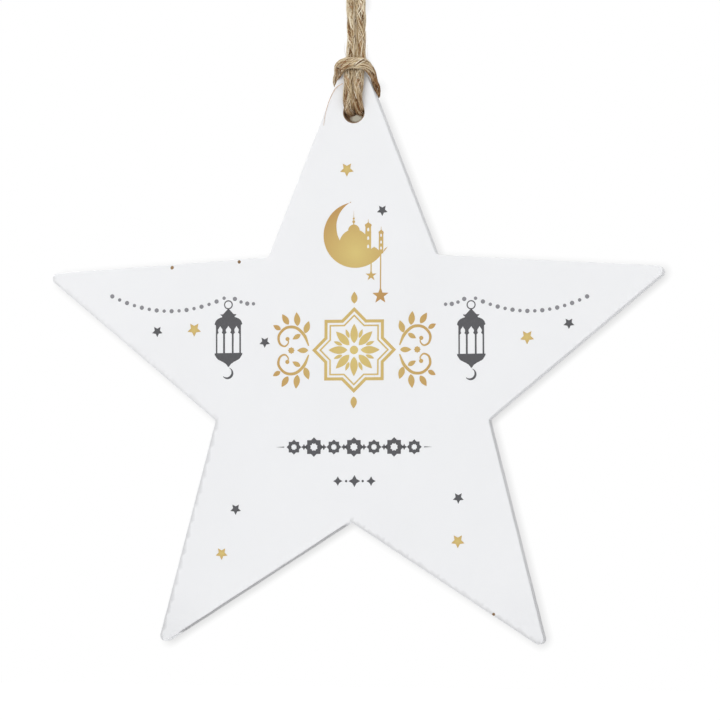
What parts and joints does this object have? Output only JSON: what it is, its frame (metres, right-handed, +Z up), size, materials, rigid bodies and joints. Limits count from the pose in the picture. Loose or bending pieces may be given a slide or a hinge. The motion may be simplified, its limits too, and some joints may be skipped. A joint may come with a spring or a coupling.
{
  "type": "hanging star ornament",
  "caption": "Flat five-pointed star of white painted wood with a printed front, hung on jute twine hitched through a hole near its top tip and knotted into a hanging loop.",
  "frame": {"origin": "the hanging point, where a nail or hook sits inside the top of the twine's loop", "axes": "+X across the star to the right as its printed front is seen, +Y out of its back, +Z up along the hanging twine"},
  "size_m": [0.1252, 0.0102, 0.1924],
  "materials": {
    "painted_wood": "satin white paint over thin board, printed on the front",
    "jute_twine": "natural twisted jute fibre"
  },
  "bodies": {
    "hanger": {"hanging_loop_left": "jute_twine", "hanging_loop_right": "jute_twine", "end_knot": "jute_twine"},
    "upper_twine": {"upper_strand_left": "jute_twine", "upper_strand_right": "jute_twine"},
    "lower_twine": {"lower_strand_left": "jute_twine", "lower_strand_right": "jute_twine"},
    "star": {"star_board": "painted_wood", "twine_hitch": "jute_twine"}
  },
  "joints": [
    {"name": "twine_sway", "type": "hinge", "parent": "hanger", "child": "upper_twine", "pos_m": [0, 0, -0.012], "axis": [0, 1, 0], "range_deg": [-20, 20]},
    {"name": "twine_twist", "type": "hinge", "parent": "upper_twine", "child": "lower_twine", "pos_m": [0, 0, -0.027], "axis": [0, 0, 1], "range_deg": [-180, 180]},
    {"name": "star_tip", "type": "hinge", "parent": "lower_twine", "child": "star", "pos_m": [0, 0, -0.0425], "axis": [1, 0, 0], "range_deg": [-60, 60]}
  ]
}
